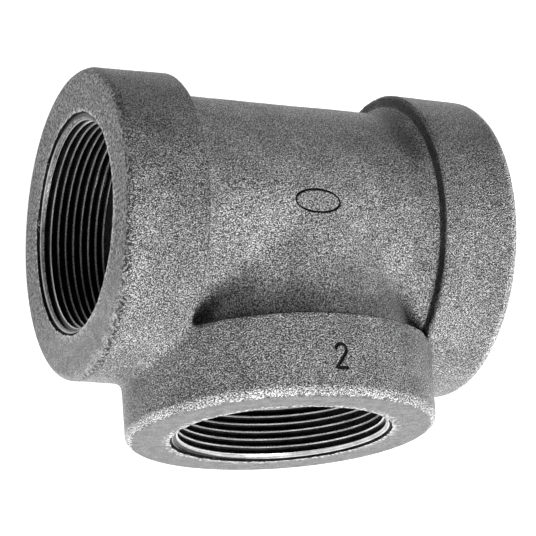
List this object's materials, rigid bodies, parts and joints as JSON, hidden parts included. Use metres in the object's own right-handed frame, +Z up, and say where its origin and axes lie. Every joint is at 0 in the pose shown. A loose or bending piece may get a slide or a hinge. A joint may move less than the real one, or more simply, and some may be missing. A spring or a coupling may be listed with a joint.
{
  "type": "pipe tee fitting",
  "caption": "Straight threaded pipe tee in grey cast iron, with a banded female port at both ends of the run and on the branch.",
  "frame": {"origin": "the point where the axes of the three ports cross", "axes": "+X along the run to the right port, -Y out of the branch port, +Z up out of the plane of the tee, which lies on its side on the rims of its bands"},
  "size_m": [0.1142, 0.1001, 0.086],
  "materials": {
    "casting": "as sand cast, dull dark grey, fine grain",
    "cut_thread": "cut metal darkened by oil and oxide",
    "cast_marks": "as sand cast, dull dark grey"
  },
  "bodies": {
    "root": {"run_barrel": "casting", "branch_barrel": "casting", "left_band": "casting", "right_band": "casting", "branch_band": "casting", "left_thread": "cut_thread", "right_thread": "cut_thread", "branch_thread": "cut_thread", "size_numeral": "cast_marks", "foundry_mark": "cast_marks"}
  },
  "joints": []
}
